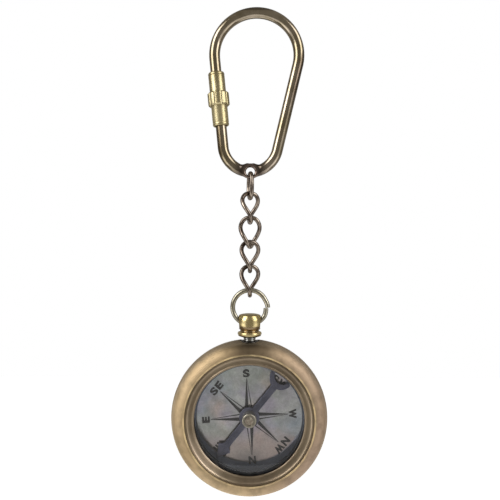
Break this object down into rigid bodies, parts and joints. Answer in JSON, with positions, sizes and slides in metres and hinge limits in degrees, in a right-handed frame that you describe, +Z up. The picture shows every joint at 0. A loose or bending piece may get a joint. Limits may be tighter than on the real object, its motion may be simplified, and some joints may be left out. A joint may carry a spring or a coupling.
{
  "type": "compass keychain",
  "caption": "Pocket compass keychain: a round brass compass with a domed glass hangs by a crown and ring from a short curb chain under a pear carabiner with a screw sleeve.",
  "frame": {"origin": "inside of the carabiner's wide bend, plumb above the chain: the point that the keychain hangs from", "axes": "+Z up along the hanging chain, -Y out of the compass glass, +X to the right when the dial is seen from the front"},
  "size_m": [0.04, 0.0105, 0.1251],
  "materials": {
    "carabiner_brass": "polished, dark antique",
    "sleeve_brass": "raw turned",
    "chain_metal": "dark antique plating",
    "ring_metal": "dark antique plating",
    "crown_brass": "polished",
    "stud_steel": "bright turned",
    "case_brass": "satin turned, antique",
    "bezel_brass": "satin turned, antique",
    "glass": "clear",
    "spacer_black": "matt black",
    "dial_silver": "silvered, printed",
    "needle_steel": "blued",
    "cap_brass": "turned",
    "jewel": "polished stone"
  },
  "bodies": {
    "carabiner": {"carabiner_loop": "carabiner_brass"},
    "sleeve": {"lock_sleeve": "sleeve_brass"},
    "link_1": {"chain_link_1": "chain_metal"},
    "link_2": {"chain_link_2": "chain_metal"},
    "link_3": {"chain_link_3": "chain_metal"},
    "link_4": {"chain_link_4": "chain_metal"},
    "link_5": {"chain_link_5": "chain_metal"},
    "bow": {"bow_ring": "ring_metal"},
    "compass": {"crown": "crown_brass", "neck_stud": "stud_steel", "neck_washer": "ring_metal", "case_body": "case_brass", "bezel": "bezel_brass", "glass": "glass", "spacer_ring": "spacer_black", "dial_plate": "dial_silver", "pivot_bush": "crown_brass", "pivot_pin": "stud_steel"},
    "compass_needle": {"needle": "needle_steel", "needle_cap": "cap_brass", "cap_jewel": "jewel"}
  },
  "joints": [
    {"name": "sleeve_slide", "type": "slide", "parent": "carabiner", "child": "sleeve", "axis": [0.0985, 0, -0.9951], "range_m": [0, 0.005]},
    {"name": "link_1_swing", "type": "hinge", "parent": "carabiner", "child": "link_1", "pos_m": [0, 0, -0.03966], "axis": [0, 1, 0], "range_deg": [-40, 40]},
    {"name": "link_2_swing", "type": "hinge", "parent": "link_1", "child": "link_2", "pos_m": [0, 0, -0.04476], "axis": [0.9397, 0.342, 0], "range_deg": [-40, 40]},
    {"name": "link_3_swing", "type": "hinge", "parent": "link_2", "child": "link_3", "pos_m": [0, 0, -0.05227], "axis": [0.1736, -0.9848, 0], "range_deg": [-40, 40]},
    {"name": "link_4_swing", "type": "hinge", "parent": "link_3", "child": "link_4", "pos_m": [0, 0, -0.05722], "axis": [-0.9781, -0.2079, 0], "range_deg": [-40, 40]},
    {"name": "link_5_swing", "type": "hinge", "parent": "link_4", "child": "link_5", "pos_m": [0, 0, -0.06473], "axis": [-0.0349, 0.9994, 0], "range_deg": [-40, 40]},
    {"name": "bow_swing", "type": "hinge", "parent": "link_5", "child": "bow", "pos_m": [0, 0, -0.0696], "axis": [1, 0, 0], "range_deg": [-40, 40]},
    {"name": "compass_swing", "type": "hinge", "parent": "bow", "child": "compass", "pos_m": [0, 0, -0.07799], "axis": [-1, 0, 0], "range_deg": [-75, 75]},
    {"name": "needle_turn", "type": "hinge", "parent": "compass", "child": "compass_needle", "pos_m": [0, 0, -0.10216], "axis": [0, 1, 0], "continuous": true}
  ]
}
